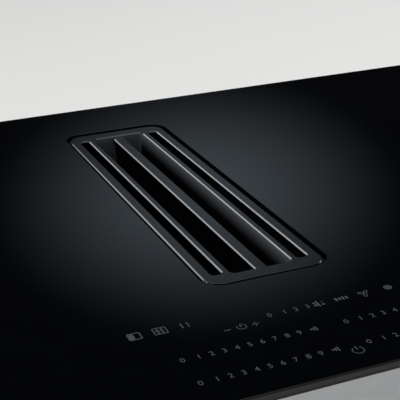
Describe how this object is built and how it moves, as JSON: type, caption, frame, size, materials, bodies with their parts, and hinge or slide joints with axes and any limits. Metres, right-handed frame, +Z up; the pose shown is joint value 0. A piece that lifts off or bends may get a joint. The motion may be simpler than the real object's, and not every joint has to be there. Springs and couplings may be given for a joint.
{
  "type": "downdraft induction cooktop",
  "caption": "Black glass induction cooktop with a flush slotted vent grille, grease filter, drip tray, radial fan below the glass and a flat duct outlet at the rear.",
  "frame": {"origin": "underside of the lower housing, below the centre of the glass plate", "axes": "+X to the right, +Y to the rear of the cooktop, +Z up through the glass"},
  "size_m": [0.83, 0.515, 0.214],
  "materials": {
    "black_glass": "polished black glass ceramic",
    "foam_seal": "closed-cell foam",
    "seal_rubber": "matt",
    "grille_coat": "matt charcoal coating",
    "blade_coat": "matt charcoal coating",
    "screw_steel": "plain",
    "pad_silicone": "matt",
    "collar_plastic": "moulded",
    "tray_steel": "zinc plated",
    "spring_steel": "blued",
    "litz_copper": "stranded copper",
    "former_plastic": "heat resistant moulding",
    "ferrite": "sintered",
    "mica": "pressed sheet",
    "sensor_ceramic": "ceramic",
    "plate_aluminium": "mill finish",
    "board_green": "printed board",
    "sink_aluminium": "extruded",
    "capacitor_box": "moulded",
    "choke_core": "sintered",
    "blower_plastic": "moulded",
    "wheel_plastic": "moulded",
    "holder_plastic": "moulded",
    "terminal_plastic": "moulded",
    "cover_plastic": "moulded",
    "gland_plastic": "moulded",
    "housing_plastic": "moulded, fine grain",
    "impeller_plastic": "moulded",
    "rotor_steel": "deep drawn",
    "shaft_steel": "ground",
    "bracket_cast": "die cast",
    "stator_steel": "laminated",
    "mount_rubber": "matt",
    "filter_plastic": "moulded",
    "filter_mesh": "expanded metal",
    "drip_plastic": "moulded"
  },
  "bodies": {
    "cooktop": {"base_housing": "housing_plastic", "board_capacitors": "capacitor_box", "cable_gland": "gland_plastic", "casing_tray": "tray_steel", "coil_former_front_left": "former_plastic", "coil_former_front_right": "former_plastic", "coil_former_rear_left": "former_plastic", "coil_former_rear_right": "former_plastic", "coil_plate_left": "plate_aluminium", "coil_plate_right": "plate_aluminium", "coil_winding_front_left": "litz_copper", "coil_winding_front_right": "litz_copper", "coil_winding_rear_left": "litz_copper", "coil_winding_rear_right": "litz_copper", "collar_seal": "seal_rubber", "cooling_fan_housing_left": "blower_plastic", "cooling_fan_housing_right": "blower_plastic", "deck_screws": "screw_steel", "fan_deck": "housing_plastic", "fan_scroll": "housing_plastic", "ferrite_bars": "ferrite", "filter_chokes": "choke_core", "glass_brackets": "tray_steel", "glass_plate": "black_glass", "glass_seal": "foam_seal", "heat_sink_left": "sink_aluminium", "heat_sink_right": "sink_aluminium", "hood_collar": "collar_plastic", "housing_screws": "screw_steel", "mica_sheets": "mica", "motor_bracket": "bracket_cast", "motor_mounts": "mount_rubber", "motor_stator": "stator_steel", "motor_windings": "litz_copper", "outlet_seal": "seal_rubber", "outlet_spigot": "housing_plastic", "plenum_cover": "housing_plastic", "power_board_left": "board_green", "power_board_right": "board_green", "spring_screws": "screw_steel", "temperature_sensors": "sensor_ceramic", "terminal_block": "terminal_plastic", "terminal_cover": "cover_plastic", "touch_board": "board_green", "touch_board_holder": "holder_plastic", "worktop_springs": "spring_steel"},
    "drip_tray": {"drip_tray": "drip_plastic"},
    "filter_cassette": {"filter_frame": "filter_plastic", "grease_filters": "filter_mesh"},
    "vent_grille": {"grille_frame": "grille_coat", "grille_blade": "blade_coat", "grille_screws": "screw_steel", "grille_pads": "pad_silicone"},
    "fan_rotor": {"impeller": "impeller_plastic", "motor_rotor": "rotor_steel", "motor_shaft": "shaft_steel"},
    "blower_wheel_left": {"cooling_fan_wheel_left": "wheel_plastic"},
    "blower_wheel_right": {"cooling_fan_wheel_right": "wheel_plastic"}
  },
  "joints": [
    {"name": "drip_tray_lift", "type": "slide", "parent": "cooktop", "child": "drip_tray", "axis": [0, 0, 1], "range_m": [0, 0.22]},
    {"name": "cassette_lift", "type": "slide", "parent": "drip_tray", "child": "filter_cassette", "axis": [0, 0, 1], "range_m": [0, 0.15]},
    {"name": "grille_lift", "type": "slide", "parent": "filter_cassette", "child": "vent_grille", "axis": [0, 0, 1], "range_m": [0, 0.08]},
    {"name": "impeller_spin", "type": "hinge", "parent": "cooktop", "child": "fan_rotor", "pos_m": [0.188, -0.005, 0.05], "axis": [0, 0, 1], "continuous": true},
    {"name": "blower_spin_left", "type": "hinge", "parent": "cooktop", "child": "blower_wheel_left", "pos_m": [-0.25, -0.15, 0.17], "axis": [0, 0, 1], "continuous": true},
    {"name": "blower_spin_right", "type": "hinge", "parent": "cooktop", "child": "blower_wheel_right", "pos_m": [0.25, -0.15, 0.17], "axis": [0, 0, 1], "continuous": true}
  ]
}
